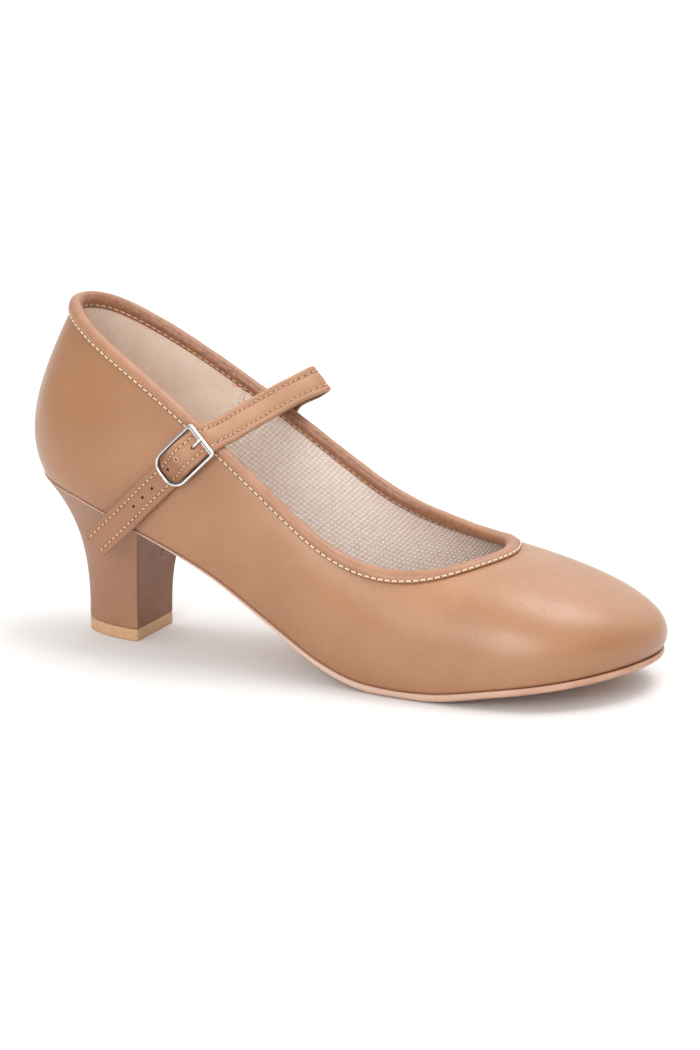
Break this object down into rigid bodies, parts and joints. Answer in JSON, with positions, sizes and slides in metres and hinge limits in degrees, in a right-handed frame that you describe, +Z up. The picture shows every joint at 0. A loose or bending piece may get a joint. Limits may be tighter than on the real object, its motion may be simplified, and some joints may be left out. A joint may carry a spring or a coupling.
{
  "type": "dance shoe",
  "caption": "Low-cut tan leather dance shoe for the right foot: lasted round-toe upper with a bound topline, buckled instep strap, thin leather sole and covered block heel.",
  "frame": {"origin": "on the floor, at the middle of the shoe's length and width", "axes": "+X from the heel to the toe, +Y to the medial side, +Z up from the floor"},
  "size_m": [0.231, 0.082, 0.1196],
  "materials": {
    "tan_leather": "satin",
    "binding_leather": "satin",
    "sole_leather": "matte",
    "insole_cloth": "matte",
    "tip_rubber": "matte",
    "nickel": "polished"
  },
  "bodies": {
    "root": {"upper": "tan_leather", "topline_binding": "binding_leather", "outsole": "sole_leather", "insole": "insole_cloth", "heel": "tan_leather", "heel_tip": "tip_rubber", "strap": "tan_leather", "buckle_frame": "nickel", "buckle_prong": "nickel", "buckle_tab": "tan_leather"}
  },
  "joints": []
}
